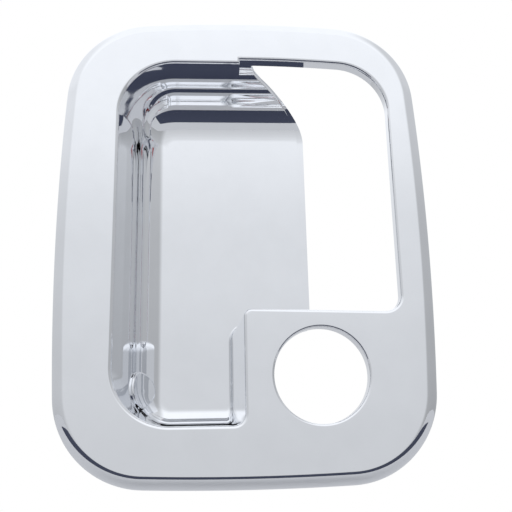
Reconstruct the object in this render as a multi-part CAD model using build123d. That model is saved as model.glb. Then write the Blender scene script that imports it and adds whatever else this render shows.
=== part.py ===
from build123d import *
import os
from math import radians, sqrt, tan

# Chrome-plated stick-on cover for a cup-type truck door handle.
#
# The cover is drawn face up: x runs across the door, y up the door, and z out of the door towards the
# hand, with z = 0 on the rear rim, which meets the door skin. "Depth" is measured into the door from the
# front face. stand_up() then turns each piece upright, so that in the part's own frame +Z is up the door
# and -Y out of it.

# Moulding, mm
WALL = 2.5                  # wall of the moulded shell
COVER_WIDTH = 148.0         # at the rear rim
COVER_HEIGHT = 191.0        # at the rear rim
RIM_DEPTH = 10.0            # rear rim to front face
RIM_DRAFT = 2.0             # degrees
CORNER_RADIUS = 35.0
SIDE_BULGE = 4.0            # how far a side bows out between its corners
TOP_BULGE = 4.2
BOTTOM_BULGE = 2.4
FACE_EDGE_RADIUS = 5.0      # rounding from the face into the rim

# Finger cup. A margin runs from the edge of the cover to the opening.
CUP_LEFT_MARGIN = 23.1
CUP_TOP_MARGIN = 19.5
CUP_BOTTOM_MARGIN = 21.7
CUP_TOP_RADIUS = 23.0
CUP_BOTTOM_RADIUS = 22.0
CUP_DEPTH = 38.0            # front face to cup floor
CUP_LEFT_SLOPE = 8.4        # how far each wall leans in over the cup's depth
CUP_TOP_SLOPE = 1.0
CUP_BOTTOM_SLOPE = 3.5
CUP_FLOOR_RADIUS = 10.0     # floor to walls
CUP_SCOOP_RADIUS = 20.0     # floor to top wall
MOUTH_FLARE = 1.2           # how far the edges of the openings are cut back where they meet the face

# Window for the handle's paddle, and its return flange
WINDOW_RIGHT_MARGIN = 13.9
WINDOW_TOP_MARGIN = 18.0
WINDOW_TOP_RADIUS = 21.5
WINDOW_BOTTOM_RADIUS = 6.5
FLANGE_DEPTH = 6.5
STEP_DEPTH = 10.0           # depth of the step in the top wall that clears the paddle's end

# Tongue: the part of the cup floor that runs behind the paddle
TONGUE_WIDTH = 32.8         # past the lock plate's left side
TONGUE_SWEEP_WIDTH = 7.2    # how far the top wall already reaches at the flange's depth
TONGUE_SWEEP_SAG = 2.4      # bow of the top wall's free edge

# Raised lock plate
PLATE_WIDTH = 74.9          # from the cover's right edge
PLATE_HEIGHT = 66.4         # from the cover's bottom edge
PLATE_TOP_SLOPE = 1.5       # degrees that its top edge falls to the right
PLATE_CORNER_RADIUS = WALL + 0.3  # wider than the wall, so that its back is still rounded
PLATE_FOOT_RADIUS = 4.5     # where its left side meets the cup's bottom edge
PLATE_FOOT_SPREAD = 8.0     # how much wider that corner is at the cup's floor
PLATE_SIDE_SLOPE = 4.1      # how far each side leans out over the cup's depth
LOCK_RIGHT_MARGIN = 46.0    # to the lock hole's centre
LOCK_BOTTOM_MARGIN = 40.9
LOCK_HOLE_RADIUS = 18.0
LOCK_FLANGE_DEPTH = 6.5
LOCK_MOUTH_RADIUS = 1.0     # rounding of its edge in the face

# Bump in the cup's lower corner that clears a screw head of the door's own handle
BUMP_INSET_X = 10.0         # from the cup's left edge
BUMP_INSET_Y = 17.5         # from the cup's bottom edge
BUMP_RADIUS = 6.3
BUMP_DEPTH = 31.0           # front face to the bump's top
BUMP_EDGE_RADIUS = 2.0

# Foam tape and its release liner
TAPE_THICKNESS = 1.1
TAPE_GAP = 0.8              # from a tape's side to the nearest wall or curve
TAPE_CORNER_RADIUS = 1.0
TAPE_WIDTH = 12.0           # the strips behind the cup's floor and by the lock; the others fill the room
TONGUE_TAPE_INSET = 4.0     # from the tongue's edge to its strip
LINER_THICKNESS = 0.2
LINER_TAB = 9.0             # bare end of the liner to pull on

FACE_Z = RIM_DEPTH
HALF_WIDTH = COVER_WIDTH / 2
HALF_HEIGHT = COVER_HEIGHT / 2
CUP_LEFT = CUP_LEFT_MARGIN - HALF_WIDTH
CUP_TOP = HALF_HEIGHT - CUP_TOP_MARGIN
CUP_BOTTOM = CUP_BOTTOM_MARGIN - HALF_HEIGHT
WINDOW_RIGHT = HALF_WIDTH - WINDOW_RIGHT_MARGIN
WINDOW_TOP = HALF_HEIGHT - WINDOW_TOP_MARGIN
PLATE_LEFT = HALF_WIDTH - PLATE_WIDTH
PLATE_TOP = PLATE_HEIGHT - HALF_HEIGHT
TONGUE_EDGE = PLATE_LEFT + TONGUE_WIDTH
LOCK_X = HALF_WIDTH - LOCK_RIGHT_MARGIN
LOCK_Y = LOCK_BOTTOM_MARGIN - HALF_HEIGHT
OVERCUT = 3.0               # how far a cutting shape runs past the material


def stand_up(shape):
    """Turns a piece from the drawing's frame to the part's own."""
    return Plane.XZ.location * shape


def at_depth(depth):
    return Location((0, 0, FACE_Z - depth))


def inwards(face, depth):
    """A block or a cutting shape that runs from the front face down to a depth."""
    return extrude(at_depth(depth) * face, amount=depth, dir=(0, 0, 1))


def rounded(points, radii):
    """A straight-sided face whose corners have the given radii."""
    face = make_face(Polyline(*points, close=True))
    for point, radius in zip(points, radii):
        if radius > 0:
            corner = face.vertices().sort_by_distance((*point, 0))[0]
            face = fillet(corner, radius)
    return face


def bow(distance, half_span, bulge):
    """How far a bowed edge has fallen back at a distance from its middle."""
    bow_radius = (half_span**2 + bulge**2) / (2 * bulge)
    return bow_radius - sqrt(bow_radius**2 - distance**2)


def top_edge(x):
    return HALF_HEIGHT - bow(x, HALF_WIDTH - SIDE_BULGE, TOP_BULGE)


def side_edge(y):
    return HALF_WIDTH - bow(y, HALF_HEIGHT - (TOP_BULGE + BOTTOM_BULGE) / 2, SIDE_BULGE)


def plate_top(x):
    """The lock plate's sloping top edge."""
    return PLATE_TOP - (x - PLATE_LEFT) * tan(radians(PLATE_TOP_SLOPE))


def cover_outline(inset):
    """The cover's outline at the rear rim, drawn in by an inset."""
    x = HALF_WIDTH - SIDE_BULGE - inset
    top = HALF_HEIGHT - TOP_BULGE - inset
    bottom = BOTTOM_BULGE - HALF_HEIGHT + inset
    middle = (top + bottom) / 2
    outline = make_face([
        ThreePointArc((x, top), (0, top + TOP_BULGE), (-x, top)),
        ThreePointArc((-x, top), (-x - SIDE_BULGE, middle), (-x, bottom)),
        ThreePointArc((-x, bottom), (0, bottom - BOTTOM_BULGE), (x, bottom)),
        ThreePointArc((x, bottom), (x + SIDE_BULGE, middle), (x, top)),
    ])
    return fillet(outline.vertices(), CORNER_RADIUS - inset)


def window_outline():
    middle = (PLATE_LEFT + WINDOW_RIGHT) / 2
    top_left = (PLATE_LEFT, top_edge(PLATE_LEFT) - WINDOW_TOP_MARGIN)
    top_middle = (middle, top_edge(middle) - WINDOW_TOP_MARGIN)
    top_right = (WINDOW_RIGHT, top_edge(WINDOW_RIGHT) - WINDOW_TOP_MARGIN)
    bottom_right = (WINDOW_RIGHT, plate_top(WINDOW_RIGHT))
    bottom_left = (PLATE_LEFT, plate_top(PLATE_LEFT))
    outline = make_face([
        ThreePointArc(top_left, top_middle, top_right),
        Line(top_right, bottom_right),
        Line(bottom_right, bottom_left),
        Line(bottom_left, top_left),
    ])
    corner = outline.vertices().sort_by_distance((*top_right, 0))[0]
    outline = fillet(corner, WINDOW_TOP_RADIUS)
    corner = outline.vertices().sort_by_distance((*bottom_right, 0))[0]
    return fillet(corner, WINDOW_BOTTOM_RADIUS)


def cup_outline(depth, grow):
    """The cup's outline at a depth, grown outwards. It runs past the tongue's edge, where the cup is open."""
    lean = depth / CUP_DEPTH
    left = CUP_LEFT + CUP_LEFT_SLOPE * lean - grow
    right = TONGUE_EDGE + OVERCUT
    top = CUP_TOP - CUP_TOP_SLOPE * lean + grow
    bottom = CUP_BOTTOM + CUP_BOTTOM_SLOPE * lean - grow
    plate_left = PLATE_LEFT - PLATE_SIDE_SLOPE * lean + grow
    plate_rise = PLATE_SIDE_SLOPE * lean - grow
    points = [
        (left, top), (right, top), (right, plate_top(right) + plate_rise),
        (plate_left, plate_top(PLATE_LEFT) + plate_rise), (plate_left, bottom), (left, bottom),
    ]
    foot = PLATE_FOOT_RADIUS + PLATE_FOOT_SPREAD * lean + grow
    radii = [CUP_TOP_RADIUS + grow, 0, 0, PLATE_CORNER_RADIUS + plate_rise, foot, CUP_BOTTOM_RADIUS + grow]
    return rounded(points, radii)


def scoop(grow):
    """Everything in front of the cup's floor and of the large curve up to its top wall."""
    floor = FACE_Z - CUP_DEPTH - grow
    wall = CUP_TOP - CUP_TOP_SLOPE + grow
    above = FACE_Z + OVERCUT
    points = [(-COVER_HEIGHT, floor), (wall, floor), (CUP_TOP + grow, above), (-COVER_HEIGHT, above)]
    profile = rounded(points, [0, CUP_SCOOP_RADIUS + grow, 0, 0])
    return extrude(Plane.YZ * profile, amount=COVER_WIDTH, both=True)


def cup_form(grow):
    """The cup as a solid plug in front of its floor, larger than its inside by the given amount."""
    mouth = at_depth(0) * cup_outline(0, grow)
    base = at_depth(CUP_DEPTH + grow) * cup_outline(CUP_DEPTH, grow)
    plug = loft([mouth, base], ruled=True)
    floor_edges = plug.faces().sort_by(Axis.Z)[0].edges()
    open_edge = floor_edges.sort_by(Axis.X)[-1]
    plug = fillet(floor_edges - [open_edge], CUP_FLOOR_RADIUS + grow)
    return plug & scoop(grow)


def open_side():
    """The space behind the window, right of the top wall's free edge, which sweeps down to the tongue."""
    start = PLATE_LEFT + TONGUE_SWEEP_WIDTH
    end = TONGUE_EDGE
    top = FACE_Z - FLANGE_DEPTH
    base = FACE_Z - CUP_DEPTH - WALL
    behind = base - OVERCUT
    middle = ((start + end) / 2 - TONGUE_SWEEP_SAG, (top + base) / 2 - TONGUE_SWEEP_SAG / 2)
    profile = make_face([
        ThreePointArc((start, top), middle, (end, base)),
        Polyline((end, base), (end, behind), (COVER_WIDTH, behind), (COVER_WIDTH, top), (start, top)),
    ])
    return extrude(Plane.XZ * profile, amount=COVER_HEIGHT, both=True)


def bump(grow):
    """The bump that stands up in the cup's corner, as a solid from behind the floor."""
    x = CUP_LEFT + BUMP_INSET_X
    y = CUP_BOTTOM + BUMP_INSET_Y
    length = CUP_DEPTH + WALL + OVERCUT - BUMP_DEPTH
    top = at_depth(BUMP_DEPTH + grow) * Pos(x, y) * Circle(BUMP_RADIUS - grow)
    post = extrude(top, amount=length, dir=(0, 0, -1))
    rim = post.edges().sort_by(Axis.Z)[-1]
    return fillet(rim, BUMP_EDGE_RADIUS)


def rim_form(inset):
    """The face and rim as a solid, smaller than the outside by the given amount."""
    form = extrude(cover_outline(inset), amount=RIM_DEPTH - inset, taper=RIM_DRAFT)
    front = form.faces().sort_by(Axis.Z)[-1]
    return fillet(front.edges(), FACE_EDGE_RADIUS - inset)


def flare(outline):
    """Opens out the last of an opening, where it meets the front face."""
    face = outline.face()
    facing_out = face if face.normal_at().Z > 0 else -face
    return extrude(at_depth(MOUTH_FLARE) * facing_out, amount=MOUTH_FLARE, taper=-45)


def left_of_window(outline):
    """The part of an outline that the window doesn't cover, with a little overlap."""
    right = PLATE_LEFT + PLATE_CORNER_RADIUS + MOUTH_FLARE
    return outline & Pos(right - COVER_WIDTH / 2, 0) * Rectangle(COVER_WIDTH, COVER_HEIGHT)


def cover_shell():
    shell = rim_form(0) - rim_form(WALL)
    window = window_outline()
    lock = Pos(LOCK_X, LOCK_Y) * Circle(LOCK_HOLE_RADIUS)
    lock_flange = Pos(LOCK_X, LOCK_Y) * Circle(LOCK_HOLE_RADIUS + WALL)
    shell += cup_form(WALL) - bump(WALL) - open_side()
    shell += inwards(offset(window, amount=WALL), FLANGE_DEPTH)
    shell += inwards(lock_flange, LOCK_FLANGE_DEPTH)
    shell -= cup_form(0) - bump(0)
    shell -= inwards(window, FLANGE_DEPTH)
    above_cup = Pos(PLATE_LEFT, CUP_TOP) * Rectangle(COVER_WIDTH, 2 * CUP_TOP_SLOPE)
    shell -= inwards(window & above_cup, STEP_DEPTH)
    shell -= inwards(lock, LOCK_FLANGE_DEPTH + OVERCUT)
    shell -= flare(window)
    shell -= flare(left_of_window(cup_outline(0, 0)))
    lock_ring = shell.faces().sort_by(Axis.Z)[-1].edges().filter_by(lambda edge: edge.is_closed)
    return fillet(lock_ring, LOCK_MOUTH_RADIUS)


def strip_places():
    """Each strip of tape as its low and high x, its low and high y, and the z of the surface it sticks to."""
    face_back = RIM_DEPTH - WALL
    floor_back = FACE_Z - CUP_DEPTH - WALL
    flat_edge = FACE_EDGE_RADIUS + RIM_DEPTH * tan(radians(RIM_DRAFT))
    reach_x = HALF_WIDTH - SIDE_BULGE - CORNER_RADIUS - LINER_TAB
    reach_y = HALF_HEIGHT - TOP_BULGE - CORNER_RADIUS - LINER_TAB
    flat_side = side_edge(reach_y + LINER_TAB) - flat_edge
    flat_top = top_edge(reach_x + LINER_TAB) - flat_edge
    flat_bottom = BOTTOM_BULGE - HALF_HEIGHT + flat_edge
    corner_bottom = BOTTOM_BULGE - HALF_HEIGHT + CORNER_RADIUS
    below_openings = min(CUP_BOTTOM, LOCK_Y - LOCK_HOLE_RADIUS) - WALL
    window_flange_top = WINDOW_TOP + WALL
    window_flange_right = WINDOW_RIGHT + WALL
    below_window = plate_top(WINDOW_RIGHT) - WALL
    cup_flat_left = CUP_LEFT + CUP_LEFT_SLOPE + CUP_FLOOR_RADIUS
    cup_flat_bottom = CUP_BOTTOM + CUP_BOTTOM_SLOPE + CUP_FLOOR_RADIUS
    cup_flat_top = CUP_TOP - CUP_TOP_SLOPE - CUP_SCOOP_RADIUS
    tongue_flat_bottom = PLATE_TOP + PLATE_SIDE_SLOPE + CUP_FLOOR_RADIUS
    tongue_right = TONGUE_EDGE - TONGUE_TAPE_INSET
    return {
        "top": (-reach_x, reach_x, window_flange_top, flat_top, face_back),
        "bottom": (-reach_x, reach_x, flat_bottom, below_openings, face_back),
        "left": (-flat_side, CUP_LEFT - WALL, -reach_y, reach_y, face_back),
        "right": (window_flange_right, flat_side, PLATE_TOP, reach_y, face_back),
        "lock": (flat_side - TAPE_WIDTH, flat_side, corner_bottom, below_window - LINER_TAB, face_back),
        "cup": (cup_flat_left, cup_flat_left + TAPE_WIDTH, cup_flat_bottom, cup_flat_top, floor_back),
        "tongue": (tongue_right - TAPE_WIDTH, tongue_right, tongue_flat_bottom, cup_flat_top, floor_back),
    }


def strip(x_low, x_high, y_low, y_high, front_z, thickness):
    """A flat strip with rounded corners, whose front lies at the given z."""
    outline = RectangleRounded(x_high - x_low, y_high - y_low, TAPE_CORNER_RADIUS)
    middle = Pos((x_low + x_high) / 2, (y_low + y_high) / 2, front_z - thickness)
    return extrude(middle * outline, amount=thickness)


def tape(x_low, x_high, y_low, y_high, surface_z):
    sides = (x_low + TAPE_GAP, x_high - TAPE_GAP, y_low + TAPE_GAP, y_high - TAPE_GAP)
    return strip(*sides, surface_z, TAPE_THICKNESS)


def liner(x_low, x_high, y_low, y_high, surface_z):
    """The release liner behind a tape, longer than it by the pull tab at its right or upper end."""
    lengthwise_x = x_high - x_low > y_high - y_low
    tab_x = LINER_TAB if lengthwise_x else 0
    tab_y = 0 if lengthwise_x else LINER_TAB
    sides = (x_low + TAPE_GAP, x_high - TAPE_GAP + tab_x, y_low + TAPE_GAP, y_high - TAPE_GAP + tab_y)
    return strip(*sides, surface_z - TAPE_THICKNESS, LINER_THICKNESS)


def pieces():
    """Every piece by its node's name, in the drawing's frame."""
    shapes = {"cover_shell": cover_shell()}
    for name, place in strip_places().items():
        shapes["tape_" + name] = tape(*place)
        shapes["liner_" + name] = liner(*place)
    return shapes


os.makedirs("parts", exist_ok=True)
for node, shape in pieces().items():
    export_step(stand_up(shape), f"parts/{node}.step")
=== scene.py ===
from math import cos, pi, radians, sin, sqrt, tan
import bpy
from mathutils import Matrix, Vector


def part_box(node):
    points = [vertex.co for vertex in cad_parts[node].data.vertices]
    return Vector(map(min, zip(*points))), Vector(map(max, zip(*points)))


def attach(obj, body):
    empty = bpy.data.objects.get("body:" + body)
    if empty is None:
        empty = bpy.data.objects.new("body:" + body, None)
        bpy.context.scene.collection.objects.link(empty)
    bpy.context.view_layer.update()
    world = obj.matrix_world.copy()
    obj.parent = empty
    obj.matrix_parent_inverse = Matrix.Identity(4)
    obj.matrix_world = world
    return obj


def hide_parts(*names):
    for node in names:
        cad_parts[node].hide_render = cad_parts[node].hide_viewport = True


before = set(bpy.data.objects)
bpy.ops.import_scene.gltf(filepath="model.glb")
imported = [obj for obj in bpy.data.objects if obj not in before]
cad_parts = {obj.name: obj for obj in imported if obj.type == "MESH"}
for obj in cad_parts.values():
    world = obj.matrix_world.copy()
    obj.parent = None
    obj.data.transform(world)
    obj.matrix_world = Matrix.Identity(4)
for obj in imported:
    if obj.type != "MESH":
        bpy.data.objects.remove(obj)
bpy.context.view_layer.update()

from types import SimpleNamespace

import bmesh
import bpy
from mathutils import Matrix, Vector
from mathutils.bvhtree import BVHTree

bl_info = {
    "name": "Chrome door handle cover",
    "version": (1, 0, 0),
    "blender": (4, 5, 0),
    "location": "View3D > Sidebar > Handle Cover",
    "description": "Builds a chrome-plated stick-on cover for a truck's cup-type door handle, with its tape",
    "category": "Add Mesh",
}

MM = 0.001
SHELL_LOW, SHELL_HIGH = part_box("cover_shell")
STRIPS = ("top", "bottom", "left", "right", "lock", "cup", "tongue")
WALL = 2.5                      # mm
PLATE_SLOPE = radians(1.5)      # fall of the lock plate's top edge to the right
RIM_DRAFT = radians(2)
MERGE = 0.004 * MM              # vertices closer than this are one
SMOOTH_ANGLE = radians(40)      # a fold up to this is shaded smooth
STRIP_CORNER = 1 * MM
TAPE_EDGE = 0.25 * MM
LINER_EDGE = 0.06 * MM

# The camera, fitted to the view from the front and a little below
CAMERA_PLACE = (-0.01447, -0.2864, -0.08516)
CAMERA_FORWARD = (0.0644, 0.9618, 0.2662)
CAMERA_ROLL = radians(-1.25)
CAMERA_LENS = 52.14
CAMERA_SENSOR = 36

FLOOR_HEIGHT = -0.45
FLOOR_REACH = 3
CARD_HEIGHT = -0.12
CARD_REACH = 0.25
CARD_DISTANCES = (0.07, 0.30)   # in front of the rear rim

# How bright the studio is by degrees above the horizon, and its share of that by how far to the side
HEIGHT_LIGHT = (
    (-90, 0.57), (-30, 0.60), (-8, 0.64), (0, 0.68), (6, 0.72),
    (15, 0.79), (29, 1.01), (36, 1.09), (90, 1.09),
)
SIDE_LIGHT = ((-1, 0.84), (-0.55, 0.84), (-0.25, 1), (0.25, 1), (0.55, 0.63), (1, 0.63))

# Sockets of the Mix node that carry its factor and its colours
MIX_FACTOR = 0
MIX_FIRST = 6
MIX_SECOND = 7
MIX_RESULT = 2


def length(name, millimetres, description):
    return bpy.props.FloatProperty(
        name=name, description=description, default=millimetres * MM, unit="LENGTH")


def colour(name, value, description):
    return bpy.props.FloatVectorProperty(
        name=name, description=description, default=value, size=4, min=0, max=1, subtype="COLOR")


class CoverSizes(bpy.types.PropertyGroup):
    """Sizes of the moulding. A margin runs from the edge of the cover to an opening."""

    width: length("Width", (SHELL_HIGH[0] - SHELL_LOW[0]) / MM, "Across the rear rim")
    height: length("Height", (SHELL_HIGH[2] - SHELL_LOW[2]) / MM, "Up the rear rim")
    rim_depth: length("Rim depth", -SHELL_LOW[1] / MM, "Rear rim to front face")
    wall: length("Wall", WALL, "Thickness of the moulding")
    cup_depth: length("Cup depth", (SHELL_HIGH[1] - SHELL_LOW[1]) / MM - WALL, "Front face to cup floor")
    corner: length("Corner radius", 35, "Corners of the cover's outline")
    side_bulge: length("Side bulge", 4, "How far each side bows out")
    top_bulge: length("Top bulge", 4.2, "How far the top bows out")
    bottom_bulge: length("Bottom bulge", 2.4, "How far the bottom bows out")
    face_edge: length("Face edge radius", 5, "Rounding from the face into the rim")
    rim_edge: length("Rim edge radius", 0.4, "Rounding of the rear rim")
    mouth: length("Mouth radius", 1.3, "Rounding from the face into the openings")
    cup_left: length("Cup left margin", 23.5, "Cover edge to cup")
    cup_top: length("Cup top margin", 20.6, "Cover edge to cup")
    cup_bottom: length("Cup bottom margin", 22.9, "Cover edge to cup")
    cup_top_corner: length("Cup top corner", 23, "Radius")
    cup_bottom_corner: length("Cup bottom corner", 22, "Radius")
    corner_taper: length("Cup corner taper", 9.5, "How much tighter its corners are at the cup's floor")
    left_lean: length("Left wall lean", 8, "How far the left wall leans in over the cup's depth")
    top_lean: length("Top wall lean", 0.2, "How far the top wall leans in over the cup's depth")
    bottom_lean: length("Bottom wall lean", 2.3, "How far the bottom wall leans in over the cup's depth")
    plate_lean: length("Lock plate lean", 4.1, "How far the plate's sides lean out over the cup's depth")
    floor_curve: length("Floor curve", 10, "Radius from the floor to the left wall")
    bottom_curve: length("Bottom curve", 6.5, "Radius from the floor to the bottom wall")
    scoop: length("Scoop", 18.3, "Radius from the floor to the top wall")
    plate_curve: length("Plate curve", 1.2, "Radius from the floor to the lock plate's sides")
    window_right: length("Window right margin", 13.9, "Cover edge to window")
    window_top: length("Window top margin", 18.8, "Cover edge to window")
    window_top_corner: length("Window top corner", 21.5, "Radius")
    window_bottom_corner: length("Window bottom corner", 6.5, "Radius")
    flange: length("Flange depth", 6.5, "Front face to the end of the window's return")
    step: length("Step depth", 10.5, "Front face to the foot of the step in the top wall")
    plate_width: length("Lock plate width", 74.9, "From the cover's right edge")
    plate_height: length("Lock plate height", 66.4, "From the cover's bottom edge")
    plate_corner: length("Lock plate corner", 2.8, "Radius")
    plate_foot: length("Lock plate foot", 4.5, "Radius where its side meets the cup's bottom edge")
    foot_taper: length("Foot taper", 2, "How much tighter the foot's corner is at the floor")
    lock_right: length("Lock right margin", 46, "Cover edge to the lock hole's centre")
    lock_bottom: length("Lock bottom margin", 40.9, "Cover edge to the lock hole's centre")
    lock_hole: length("Lock hole radius", 18, "Radius")
    lock_mouth: length("Lock mouth radius", 1, "Rounding from the face into the lock hole")
    tongue: length("Tongue width", 32.8, "Lock plate's left side to the tongue's edge")
    sweep_start: length("Sweep start", 7.2, "Lock plate's left side to the top wall's end, at the flange")
    sweep_bow: length("Sweep bow", 3, "Bow of the top wall's free edge")
    lip: length("Lip", 2.2, "How far the tongue's edge takes to roll over")
    button_x: length("Button across", -43, "Centre of the round pad in the cup's corner, from the middle")
    button_z: length("Button up", -56.5, "Centre of the round pad in the cup's corner, from the middle")
    button_radius: length("Button radius", 7.5, "Radius")
    button_rise: length("Button rise", 1.25, "How far it stands up")
    button_edge: length("Button edge", 0.8, "Rounding of its top")


class CoverColours(bpy.types.PropertyGroup):
    """Colours of the finishes and of the stage."""

    chrome: colour("Chrome", (0.91, 0.92, 0.94, 1), "Plating of the cover")
    foam: colour("Foam", (0.042, 0.042, 0.045, 1), "Tape")
    liner: colour("Liner", (0.55, 0.025, 0.022, 1), "Release liner")
    floor: colour("Floor", (0.66, 0.66, 0.67, 1), "Floor of the stage")
    card: colour("Card", (0.055, 0.062, 0.095, 1), "Dark card that the lower edges mirror")
    light: colour("Light", (0.937, 0.961, 1, 1), "Tint of the studio light")


def in_mm(group):
    """A group's sizes as plain numbers, in millimetres."""
    return SimpleNamespace(**{name: getattr(group, name) / MM for name in group.__annotations__})


# ---------------------------------------------------------------- outlines, in millimetres across and up

def arc(centre, start, end, steps):
    """Points from start round a centre to end, the short way."""
    spoke = start - centre
    turn = spoke.angle_signed(end - centre)
    return [centre + Matrix.Rotation(-turn * i / steps, 2) @ spoke for i in range(steps + 1)]


def side(start, end, steps):
    """Points between two ends, without the ends."""
    return [start.lerp(end, i / steps) for i in range(1, steps)]


def rounded_corner(before, corner, after, radius, steps):
    """The arc that rounds a corner of a straight-sided outline."""
    back = (before - corner).normalized()
    on = (after - corner).normalized()
    half = back.angle(on) / 2
    reach = radius / tan(half)
    centre = corner + (back + on).normalized() * radius / sin(half)
    return arc(centre, corner + back * reach, corner + on * reach, steps)


def bow_circle(half_span, bulge):
    """Radius of an arc that rises by a bulge over its half span."""
    return (half_span**2 + bulge**2) / (2 * bulge)


def meeting(centre_a, radius_a, centre_b, radius_b, near):
    """The point nearest to a given one where two circles cross."""
    gap = centre_b - centre_a
    along = (radius_a**2 - radius_b**2 + gap.length_squared) / (2 * gap.length)
    across = sqrt(radius_a**2 - along**2)
    foot = centre_a + gap.normalized() * along
    normal = Vector((-gap.y, gap.x)).normalized() * across
    return min(foot + normal, foot - normal, key=lambda point: (point - near).length)


def cover_outline(size, inset, side_steps=28, corner_steps=28):
    """The cover's bowed outline, drawn in by an inset, anticlockwise from its top right corner."""
    x = size.width / 2 - size.side_bulge - inset
    top = size.height / 2 - size.top_bulge - inset
    bottom = size.bottom_bulge - size.height / 2 + inset
    middle = (top + bottom) / 2
    radius = size.corner - inset
    side_radius = bow_circle((top - bottom) / 2, size.side_bulge)
    top_radius = bow_circle(x, size.top_bulge)
    bottom_radius = bow_circle(x, size.bottom_bulge)
    top_centre = Vector((0, top + size.top_bulge - top_radius))
    bottom_centre = Vector((0, bottom - size.bottom_bulge + bottom_radius))
    left_centre = Vector((side_radius - x - size.side_bulge, middle))
    right_centre = -left_centre + Vector((0, 2 * middle))
    sides = [
        (top_centre, top_radius), (left_centre, side_radius),
        (bottom_centre, bottom_radius), (right_centre, side_radius),
    ]
    corners = [Vector((x, top)), Vector((-x, top)), Vector((-x, bottom)), Vector((x, bottom))]
    touching = []
    for i, corner in enumerate(corners):
        before, radius_before = sides[i - 1]
        after, radius_after = sides[i]
        centre = meeting(before, radius_before - radius, after, radius_after - radius, corner)
        start = before + (centre - before).normalized() * radius_before
        end = after + (centre - after).normalized() * radius_after
        touching.append((centre, start, end))
    points = []
    for i, (centre, start, end) in enumerate(touching):
        next_start = touching[(i + 1) % 4][1]
        points += arc(centre, start, end, corner_steps)[:-1]
        points += arc(sides[i][0], end, next_start, side_steps)[:-1]
    return points


def circle(x, z, radius, steps=96):
    turns = [2 * pi * i / steps for i in range(steps)]
    return [Vector((x + radius * cos(turn), z + radius * sin(turn))) for turn in turns]


def curve_in(size, depth, radius, grow):
    """How far a wall has curved in towards the floor at a depth."""
    below = depth - (size.cup_depth - radius)
    if below <= 0:
        return 0
    full = radius + grow
    return full - sqrt(max(full**2 - below**2, 0))


def ease(value):
    """A value held between 0 and 1, with a soft start and end."""
    value = min(max(value, 0), 1)
    return value * value * (3 - 2 * value)


def sweep_x(size, depth):
    """Where the cup's walls end at a depth, along an arc that runs from the flange to the tongue's edge."""
    left = size.width / 2 - size.plate_width
    start = Vector((left + size.sweep_start, size.flange))
    end = Vector((left + size.tongue, size.cup_depth + size.wall))
    if depth <= size.flange:
        return start.x
    chord = end - start
    radius = bow_circle(chord.length / 2, size.sweep_bow)
    normal = Vector((chord.y, -chord.x)).normalized()
    centre = (start + end) / 2 + normal * (radius - size.sweep_bow)
    return centre.x - sqrt(radius**2 - (depth - centre.y)**2)


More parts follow.
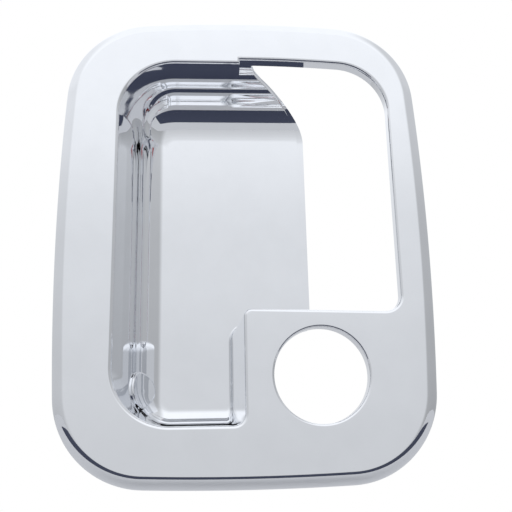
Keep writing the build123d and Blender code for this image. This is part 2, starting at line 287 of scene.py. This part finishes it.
def opening(size, depth, swell, grow=0):
    """The openings' outline at a depth, as the cup's part and the window's part.

    swell pushes the whole outline out, for rounded edges and for the back of the wall; grow is the share
    of it that is the wall's own thickness. The cup's part runs anticlockwise from its free edge at the top
    to that at the lock plate, and the window's part goes on from there.
    """
    half_width = size.width / 2
    half_height = size.height / 2
    lean = min(depth / size.cup_depth, 1)
    plate_x = half_width - size.plate_width
    plate_z = size.plate_height - half_height
    floor_in = curve_in(size, depth, size.floor_curve, grow)
    bottom_in = curve_in(size, depth, size.bottom_curve, grow)
    plate_out = curve_in(size, depth, size.plate_curve, grow)
    left = size.cup_left - half_width + size.left_lean * lean + floor_in - swell
    bottom = size.cup_bottom - half_height + size.bottom_lean * lean + bottom_in - swell
    scoop_in = curve_in(size, depth, size.scoop, grow)
    cup_top = half_height - size.cup_top - size.top_lean * lean - scoop_in + swell
    plate_left = plate_x - size.plate_lean * lean - plate_out + swell
    plate_top = plate_z + plate_out - swell
    slope = tan(PLATE_SLOPE)
    sharpest = 0.3
    crown = bow_circle(half_width - size.side_bulge, size.top_bulge)
    free_x = sweep_x(size, depth) - size.lip
    step_x = plate_x - swell

    def window_top(x):
        return half_height - size.window_top - (crown - sqrt(crown**2 - x * x)) + swell

    to_cup = ease((depth - size.flange) / (size.step - size.flange))
    top_free = Vector((free_x, window_top(free_x))).lerp(Vector((free_x, cup_top)), to_cup)
    step_top = Vector((step_x, window_top(step_x))).lerp(Vector((step_x, cup_top)), to_cup)
    step_foot = Vector((step_x, cup_top))
    top_left = Vector((left, cup_top))
    bottom_left = Vector((left, bottom))
    foot = Vector((plate_left, bottom))
    plate = Vector((plate_left, plate_top))
    plate_free = Vector((free_x, plate_top - (free_x - plate_x) * slope))
    taper = size.corner_taper * lean + floor_in
    foot_radius = size.plate_foot - size.foot_taper * lean - plate_out + swell
    plate_radius = max(size.plate_corner + size.plate_lean * lean + plate_out - swell, sharpest)

    top_left_arc = rounded_corner(step_foot, top_left, bottom_left, size.cup_top_corner - taper + swell, 36)
    bottom_left_arc = rounded_corner(top_left, bottom_left, foot, size.cup_bottom_corner - taper + swell, 64)
    foot_arc = rounded_corner(bottom_left, foot, plate, foot_radius, 20)
    plate_arc = rounded_corner(foot, plate, plate_free, plate_radius, 14)
    cup = [top_free, *side(top_free, step_top, 6), step_top, *side(step_top, step_foot, 2), step_foot]
    cup += [*side(step_foot, top_left_arc[0], 20), *top_left_arc]
    cup += [*side(top_left_arc[-1], bottom_left_arc[0], 36), *bottom_left_arc]
    cup += [*side(bottom_left_arc[-1], foot_arc[0], 16), *foot_arc]
    cup += [*side(foot_arc[-1], plate_arc[0], 20), *plate_arc]
    cup += [*side(plate_arc[-1], plate_free, 8), plate_free]

    right = half_width - size.window_right + swell
    low_right = Vector((right, plate_top - (right - plate_x) * slope))
    tangent_x = right - size.window_top_corner
    fall = tangent_x / crown
    high_right = Vector((right, window_top(tangent_x) - (right - tangent_x) * fall))
    along_top = Vector((tangent_x, window_top(tangent_x)))
    low_arc = rounded_corner(plate_free, low_right, high_right, size.window_bottom_corner + swell, 16)
    high_arc = rounded_corner(low_right, high_right, along_top, size.window_top_corner + swell, 32)
    window = [*side(plate_free, low_arc[0], 24), *low_arc]
    window += [*side(low_arc[-1], high_arc[0], 32), *high_arc]
    window += [Vector((point.x, window_top(point.x))) for point in side(high_arc[-1], top_free, 20)]
    return cup, window


# ---------------------------------------------------------------- mesh work

def placed(size, points, depth):
    """Outline points as places in the frame, at a depth from the front face."""
    return [Vector((point.x, depth - size.rim_depth, point.y)) * MM for point in points]


def new_row(bm, places, closed):
    """A row of vertices joined by edges."""
    row = [bm.verts.new(place) for place in places]
    ends = row[1:] + row[:1] if closed else row[1:]
    for start, end in zip(row, ends):
        bm.edges.new((start, end))
    return row


def row_edges(bm, row, closed):
    ends = row[1:] + row[:1] if closed else row[1:]
    return [bm.edges.get((start, end)) for start, end in zip(row, ends)]


def grow_row(bm, row, places, closed):
    """Extrudes a row of vertices into a strip and moves the new row to its places."""
    made = bmesh.ops.extrude_edge_only(bm, edges=row_edges(bm, row, closed))["geom"]
    fresh = {item for item in made if isinstance(item, bmesh.types.BMVert)}
    grown = []
    for vert, place in zip(row, places):
        new = next(edge.other_vert(vert) for edge in vert.link_edges if edge.other_vert(vert) in fresh)
        new.co = place
        grown.append(new)
    return grown


def quarter(radius, steps):
    """Offsets across and along of a quarter round, from flat to upright."""
    angles = [pi / 2 * i / steps for i in range(steps + 1)]
    return [(radius * (1 - sin(angle)), radius * (1 - cos(angle))) for angle in angles]


def rim_rows(bm, size):
    """The rim, from the edge of the flat face round the rear rim to the flat of the face's back."""
    centre = size.face_edge * tan(RIM_DRAFT) + size.face_edge / cos(RIM_DRAFT)
    end = pi / 2 - RIM_DRAFT
    face_turns = [end * i / 14 for i in range(15)]
    rear_turns = [pi / 2 * i / 4 for i in range(5)]
    inner = size.face_edge - size.wall
    edge = size.rim_edge
    rear = [(edge * (1 - cos(turn)), size.rim_depth - edge * (1 - sin(turn))) for turn in rear_turns]
    outside = [(centre - size.face_edge * sin(turn), size.face_edge * (1 - cos(turn))) for turn in face_turns]
    inside = [(centre - inner * sin(turn), size.face_edge - inner * cos(turn)) for turn in face_turns]
    profile = outside + rear
    profile += [(size.wall - inset, depth) for inset, depth in reversed(rear)]
    profile += reversed(inside)
    row = new_row(bm, placed(size, cover_outline(size, profile[0][0]), 0), True)
    for inset, depth in profile[1:]:
        row = grow_row(bm, row, placed(size, cover_outline(size, inset), depth), True)


def lock_rows(bm, size):
    """The lock hole's return, from the face round its end to the face's back."""
    x = size.width / 2 - size.lock_right
    z = size.lock_bottom - size.height / 2
    end = size.wall / 2
    end_turns = [pi * i / 12 for i in range(13)]
    wide = size.wall + 1.5
    narrow = size.wall + 0.3
    profile = quarter(size.lock_mouth, 6)
    profile += [(end - end * cos(turn), size.flange - end + end * sin(turn)) for turn in end_turns]
    profile += [(size.wall, wide), (narrow, narrow), (wide, size.wall)]
    row = new_row(bm, placed(size, circle(x, z, size.lock_hole + profile[0][0]), 0), True)
    for swell, depth in profile[1:]:
        row = grow_row(bm, row, placed(size, circle(x, z, size.lock_hole + swell), depth), True)


def skin(bm, size, mouth, cup_levels, grow):
    """Makes one side of the openings' walls and the cup, and returns the boundary to roll over.

    The boundary is the top wall's free edge, the tongue's edge, the lock plate's free edge and the
    flange's end. mouth is a list of swell and depth from the face to the flange's end, and cup_levels
    goes on from there.
    """
    def outline(depth, swell):
        cup, window = opening(size, depth, swell, grow)
        return placed(size, cup, depth), placed(size, window, depth)

    swell, depth = mouth[0]
    cup, window = outline(depth, swell)
    row = new_row(bm, cup + window, True)
    for swell, depth in mouth[1:]:
        cup, window = outline(depth, swell)
        row = grow_row(bm, row, cup + window, True)
    flange_end = row[len(cup):]
    chain = row[:len(cup)]
    top_edge = [chain[0]]
    plate_edge = [chain[-1]]
    for depth in cup_levels:
        cup, window = outline(depth, grow)
        chain = grow_row(bm, chain, cup, False)
        top_edge.append(chain[0])
        plate_edge.append(chain[-1])
    steps = 40
    between = [chain[0].co.lerp(chain[-1].co, i / steps) for i in range(1, steps)]
    tongue = [bm.verts.new(place) for place in between]
    line = [chain[0], *tongue, chain[-1]]
    for start, end in zip(line, line[1:]):
        bm.edges.new((start, end))
    return top_edge + tongue + plate_edge[::-1] + flange_end


def roll_edge(bm, size, front, back, rows=10):
    """Rolls the front skin's boundary over to the back skin's, as a rounded edge."""
    count = len(front)
    front_places = [vert.co.copy() for vert in front]
    back_places = [vert.co.copy() for vert in back]
    outward = []
    for i in range(count):
        along = front_places[(i + 1) % count] - front_places[i - 1]
        outward.append((back_places[i] - front_places[i]).cross(along).normalized())
    for _ in range(3):
        after = outward[1:] + outward[:1]
        outward = [(outward[i - 1] + outward[i] + after[i]).normalized() for i in range(count)]
    row = front
    for step in range(1, rows + 1):
        angle = pi * step / rows
        places = []
        for i in range(count):
            middle = (front_places[i] + back_places[i]) / 2
            half = front_places[i] - middle
            places.append(middle + half * cos(angle) + outward[i] * half.length * sin(angle))
        row = grow_row(bm, row, places, True)


def fill_flat(bm, depth):
    """Fills between the open edges that lie at a depth, given in the frame."""
    near = MM / 1000
    flat = [edge for edge in bm.edges if all(abs(vert.co.y - depth) < near for vert in edge.verts)]
    bmesh.ops.triangle_fill(bm, use_beauty=True, edges=[edge for edge in flat if edge.is_boundary])


def finished(bm, name, material):
    """A bmesh as an object with smooth shading, its flat faces kept flat."""
    bmesh.ops.remove_doubles(bm, verts=bm.verts, dist=MERGE)
    bmesh.ops.dissolve_degenerate(bm, edges=bm.edges, dist=MERGE / 4)
    bmesh.ops.recalc_face_normals(bm, faces=bm.faces)
    mesh = bpy.data.meshes.new(name)
    bm.to_mesh(mesh)
    bm.free()
    mesh.shade_smooth()
    mesh.set_sharp_from_angle(angle=SMOOTH_ANGLE)
    mesh.materials.append(material)
    piece = bpy.data.objects.new(name, mesh)
    bpy.context.scene.collection.objects.link(piece)
    weighted = piece.modifiers.new("flat faces", "WEIGHTED_NORMAL")
    weighted.mode = "FACE_AREA"
    weighted.keep_sharp = True
    return piece


def button(bm, size):
    """A round pad raised from the corner between the cup's left wall and its floor, near the bottom."""
    ahead = 20
    centre = 0.01
    sunk = -0.8
    lift = 10
    start = Vector((size.button_x, -size.rim_depth - ahead, size.button_z)) * MM
    tree = BVHTree.FromBMesh(bm)
    middle, normal, _, _ = tree.ray_cast(start, Vector((0, 1, 0)))
    across = normal.cross(Vector((0, 0, 1))).normalized()
    up = across.cross(normal)
    turns = [2 * pi * i / 72 for i in range(72)]

    def ring(radius, rise):
        places = []
        for turn in turns:
            spoke = (across * cos(turn) + up * sin(turn)) * radius * MM
            foot, _, _, _ = tree.ray_cast(middle + spoke + normal * lift * MM, -normal)
            places.append(foot + normal * rise * MM)
        return places

    edge = size.button_edge
    top = size.button_radius - edge
    rise = size.button_rise
    edge_turns = [pi / 12 * i for i in range(1, 7)]
    profile = [(centre, rise)] + [(top * i / 8, rise) for i in range(1, 9)]
    profile += [(top + edge * sin(turn), rise - edge * (1 - cos(turn))) for turn in edge_turns]
    profile += [(size.button_radius, sunk), (top / 2, sunk), (centre, sunk)]
    row = new_row(bm, ring(*profile[0]), True)
    first = row
    for radius, rise in profile[1:]:
        row = grow_row(bm, row, ring(radius, rise), True)
    for end in (first, row):
        bmesh.ops.pointmerge(bm, verts=end, merge_co=end[0].co)


# ---------------------------------------------------------------- finishes

def new_material(name):
    """A material, with its nodes, its links and its shader."""
    material = bpy.data.materials.new(name)
    material.use_nodes = True
    nodes = material.node_tree.nodes
    return material, nodes, material.node_tree.links, nodes["Principled BSDF"]


def fine_bump(nodes, links, shader, scale, strength, distance):
    """A fine unevenness over the surface."""
    place = nodes.new("ShaderNodeTexCoord")
    noise = nodes.new("ShaderNodeTexNoise")
    noise.inputs["Scale"].default_value = scale
    noise.inputs["Detail"].default_value = 3
    bump = nodes.new("ShaderNodeBump")
    bump.inputs["Strength"].default_value = strength
    bump.inputs["Distance"].default_value = distance
    links.new(place.outputs["Object"], noise.inputs["Vector"])
    links.new(noise.outputs["Fac"], bump.inputs["Height"])
    links.new(bump.outputs["Normal"], shader.inputs["Normal"])
    return noise


def mottle(nodes, links, noise, shader, middle, spread):
    """Colour that drifts to either side of a middle shade."""
    ramp = nodes.new("ShaderNodeValToRGB")
    for element, position, change in zip(ramp.color_ramp.elements, (0.35, 0.65), (1 - spread, 1 + spread)):
        element.position = position
        element.color = (*(part * change for part in middle[:3]), 1)
    links.new(noise.outputs["Fac"], ramp.inputs["Fac"])
    links.new(ramp.outputs["Color"], shader.inputs["Base Color"])


def chrome_plating(tint):
    """Bright mirror plating with a trace of waviness."""
    material, nodes, links, shader = new_material("chrome_plating")
    noise = fine_bump(nodes, links, shader, 90, 0.02, 0.0002)
    mottle(nodes, links, noise, shader, tint, 0.01)
    shader.inputs["Metallic"].default_value = 1
    shader.inputs["Roughness"].default_value = 0.04
    return material


def foam(tint):
    """Matt, grainy foam."""
    material, nodes, links, shader = new_material("foam")
    noise = fine_bump(nodes, links, shader, 2500, 0.6, 0.0002)
    mottle(nodes, links, noise, shader, tint, 0.4)
    shader.inputs["Roughness"].default_value = 0.9
    return material


def liner_film(tint):
    """Glossy plastic film."""
    material, nodes, links, shader = new_material("liner_film")
    noise = fine_bump(nodes, links, shader, 160, 0.15, 0.0003)
    mottle(nodes, links, noise, shader, tint, 0.09)
    shader.inputs["Roughness"].default_value = 0.28
    return material


# ---------------------------------------------------------------- operators

class AddShell(bpy.types.Operator):
    """Adds the moulded cover."""

    bl_idname = "cover.add_shell"
    bl_label = "Cover shell"

    def execute(self, context):
        size = in_mm(context.scene.cover_sizes)
        bm = bmesh.new()
        rim_rows(bm, size)
        lock_rows(bm, size)
        flange_end = size.flange - size.wall / 2
        scoop_start = size.cup_depth - size.scoop
        turns = [pi / 2 * i / 36 for i in range(1, 37)]
        wall_levels = [size.flange, 7.5, 8.5, 9.5, size.step, 12, 13.5, 15, 16.5, scoop_start]
        front_levels = wall_levels + [scoop_start + size.scoop * sin(turn) for turn in turns]
        back_levels = wall_levels + [scoop_start + (size.scoop + size.wall) * sin(turn) for turn in turns]
        front_mouth = quarter(size.mouth, 10) + [(0, 3), (0, 4), (0, flange_end)]
        back_mouth = [(size.wall + swell, size.wall + depth) for swell, depth in quarter(1, 5)]
        back_mouth += [(size.wall, 4.2), (size.wall, flange_end)]
        front = skin(bm, size, front_mouth, front_levels, 0)
        back = skin(bm, size, back_mouth, back_levels, size.wall)
        roll_edge(bm, size, front, back)
        bmesh.ops.remove_doubles(bm, verts=bm.verts, dist=MERGE)
        for depth in (0, size.wall, size.cup_depth, size.cup_depth + size.wall):
            fill_flat(bm, (depth - size.rim_depth) * MM)
        bmesh.ops.recalc_face_normals(bm, faces=bm.faces)
        button(bm, size)
        plating = chrome_plating(context.scene.cover_colours.chrome)
        shell = finished(bm, "moulded_cover", plating)
        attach(shell, "cover")
        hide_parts("cover_shell")
        return {"FINISHED"}


def round_off(bm, edges, radius, steps):
    bmesh.ops.bevel(bm, geom=edges, offset=radius, segments=steps, profile=0.5, affect="EDGES", material=-1)


def strip(node, material, body, rounding):
    """Adds a flat strip with rounded corners and edges, in a CAD strip's place."""
    low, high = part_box(node)
    bm = bmesh.new()
    bmesh.ops.create_cube(bm, size=1)
    bmesh.ops.scale(bm, vec=high - low, verts=bm.verts)
    bmesh.ops.translate(bm, vec=(low + high) / 2, verts=bm.verts)
    across = [edge for edge in bm.edges if abs(edge.verts[0].co.y - edge.verts[1].co.y) > MM / 1000]
    round_off(bm, across, STRIP_CORNER, 6)
    around = [edge for edge in bm.edges if edge.calc_face_angle() > 1]
    round_off(bm, around, rounding, 3)
    piece = finished(bm, node + "_strip", material)
    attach(piece, body)
    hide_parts(node)


class AddTape(bpy.types.Operator):
    """Adds the strips of foam tape."""

    bl_idname = "cover.add_tape"
    bl_label = "Foam tape"

    def execute(self, context):
        material = foam(context.scene.cover_colours.foam)
        for name in STRIPS:
            strip("tape_" + name, material, "cover", TAPE_EDGE)
        return {"FINISHED"}


class AddLiners(bpy.types.Operator):
    """Adds the release liners, each on its own body."""

    bl_idname = "cover.add_liners"
    bl_label = "Release liners"

    def execute(self, context):
        material = liner_film(context.scene.cover_colours.liner)
        for name in STRIPS:
            strip("liner_" + name, material, "liner_" + name, LINER_EDGE)
        return {"FINISHED"}


def plain(name, shade):
    """An even matt finish for the stage."""
    material, _, _, shader = new_material(name)
    shader.inputs["Base Color"].default_value = shade
    shader.inputs["Roughness"].default_value = 0.9
    shader.inputs["Specular IOR Level"].default_value = 0.1
    return material


def card(name, corners, height, material, in_view):
    """A level four-sided panel of the stage."""
    bm = bmesh.new()
    bm.faces.new([bm.verts.new((x, y, height)) for x, y in corners])
    mesh = bpy.data.meshes.new(name)
    bm.to_mesh(mesh)
    bm.free()
    mesh.materials.append(material)
    panel = bpy.data.objects.new(name, mesh)
    bpy.context.scene.collection.objects.link(panel)
    panel.visible_camera = in_view


def stepped(nodes, stops):
    """A ramp that eases through (position, light) stops."""
    ramp = nodes.new("ShaderNodeValToRGB")
    ramp.color_ramp.interpolation = "EASE"
    elements = ramp.color_ramp.elements
    while len(elements) < len(stops):
        elements.new(0.5)
    for element, (position, light) in zip(elements, stops):
        element.position = position
        element.color = (light, light, light, 1)
    return ramp


def mix_node(nodes, links, blend, first):
    """A Mix node whose second colour is still to be given."""
    mix = nodes.new("ShaderNodeMix")
    mix.data_type = "RGBA"
    mix.blend_type = blend
    mix.inputs[MIX_FACTOR].default_value = 1
    links.new(first, mix.inputs[MIX_FIRST])
    return mix


def studio_sky(tint):
    """Light from all round, by height above the horizon and a little by side; white to the camera."""
    world = bpy.data.worlds.new("studio")
    world.use_nodes = True
    nodes = world.node_tree.nodes
    links = world.node_tree.links
    place = nodes.new("ShaderNodeTexCoord")
    split = nodes.new("ShaderNodeSeparateXYZ")
    height = nodes.new("ShaderNodeMath")
    height.operation = "ARCSINE"
    share = nodes.new("ShaderNodeMapRange")
    share.inputs["From Min"].default_value = -pi / 2
    share.inputs["From Max"].default_value = pi / 2
    across = nodes.new("ShaderNodeMapRange")
    across.inputs["From Min"].default_value = -1
    height_light = stepped(nodes, [((angle + 90) / 180, light) for angle, light in HEIGHT_LIGHT])
    side_light = stepped(nodes, [((part + 1) / 2, light) for part, light in SIDE_LIGHT])
    seen = nodes.new("ShaderNodeLightPath")
    links.new(place.outputs["Generated"], split.inputs["Vector"])
    links.new(split.outputs["Z"], height.inputs[0])
    links.new(height.outputs["Value"], share.inputs["Value"])
    links.new(share.outputs["Result"], height_light.inputs["Fac"])
    links.new(split.outputs["X"], across.inputs["Value"])
    links.new(across.outputs["Result"], side_light.inputs["Fac"])
    shaded = mix_node(nodes, links, "MULTIPLY", height_light.outputs["Color"])
    links.new(side_light.outputs["Color"], shaded.inputs[MIX_SECOND])
    tinted = mix_node(nodes, links, "MULTIPLY", shaded.outputs[MIX_RESULT])
    tinted.inputs[MIX_SECOND].default_value = tint
    choose = mix_node(nodes, links, "MIX", tinted.outputs[MIX_RESULT])
    choose.inputs[MIX_SECOND].default_value = (1, 1, 1, 1)
    links.new(seen.outputs["Is Camera Ray"], choose.inputs[MIX_FACTOR])
    links.new(choose.outputs[MIX_RESULT], nodes["Background"].inputs["Color"])
    return world


def fitted_camera():
    """The camera, looking up at the cover from in front and a little below."""
    camera = bpy.data.objects.new("camera", bpy.data.cameras.new("camera"))
    bpy.context.scene.collection.objects.link(camera)
    forward = Vector(CAMERA_FORWARD).normalized()
    right = forward.cross(Vector((0, 0, 1))).normalized()
    up = right.cross(forward)
    image_right = right * cos(CAMERA_ROLL) + up * sin(CAMERA_ROLL)
    image_up = up * cos(CAMERA_ROLL) - right * sin(CAMERA_ROLL)
    turned = Matrix((image_right, image_up, -forward)).transposed().to_4x4()
    camera.matrix_world = Matrix.Translation(Vector(CAMERA_PLACE)) @ turned
    camera.data.lens = CAMERA_LENS
    camera.data.sensor_width = CAMERA_SENSOR
    camera.data.clip_start = 0.01
    return camera


class AddStage(bpy.types.Operator):
    """Adds the camera, the floor and the studio light."""

    bl_idname = "cover.add_stage"
    bl_label = "Stage"

    def execute(self, context):
        scene = context.scene
        colours = scene.cover_colours
        scene.camera = fitted_camera()
        scene.view_settings.view_transform = "Standard"
        scene.world = studio_sky(tuple(colours.light))
        far = FLOOR_REACH
        floor = [(-far, -far), (far, -far), (far, far), (-far, far)]
        card("floor", floor, FLOOR_HEIGHT, plain("pale_floor", colours.floor), True)
        near, out = CARD_DISTANCES
        low = [(-CARD_REACH, -near), (-CARD_REACH, -out), (CARD_REACH, -out), (CARD_REACH, -near)]
        card("low_card", low, CARD_HEIGHT, plain("dark_card", colours.card), False)
        return {"FINISHED"}


class CoverPanel(bpy.types.Panel):
    """The cover's steps, sizes and colours."""

    bl_idname = "VIEW3D_PT_handle_cover"
    bl_label = "Handle Cover"
    bl_space_type = "VIEW_3D"
    bl_region_type = "UI"
    bl_category = "Handle Cover"

    def draw(self, context):
        for step in (AddShell, AddTape, AddLiners, AddStage):
            self.layout.operator(step.bl_idname)
        for group in (context.scene.cover_sizes, context.scene.cover_colours):
            box = self.layout.box()
            for name in group.__annotations__:
                box.prop(group, name)


CLASSES = (CoverSizes, CoverColours, AddShell, AddTape, AddLiners, AddStage, CoverPanel)


def register():
    for item in CLASSES:
        bpy.utils.register_class(item)
    bpy.types.Scene.cover_sizes = bpy.props.PointerProperty(type=CoverSizes)
    bpy.types.Scene.cover_colours = bpy.props.PointerProperty(type=CoverColours)


def unregister():
    del bpy.types.Scene.cover_colours
    del bpy.types.Scene.cover_sizes
    for item in reversed(CLASSES):
        bpy.utils.unregister_class(item)


def main():
    register()
    bpy.ops.cover.add_shell()
    bpy.ops.cover.add_tape()
    bpy.ops.cover.add_liners()
    bpy.ops.cover.add_stage()


if __name__ == "__main__":
    main()
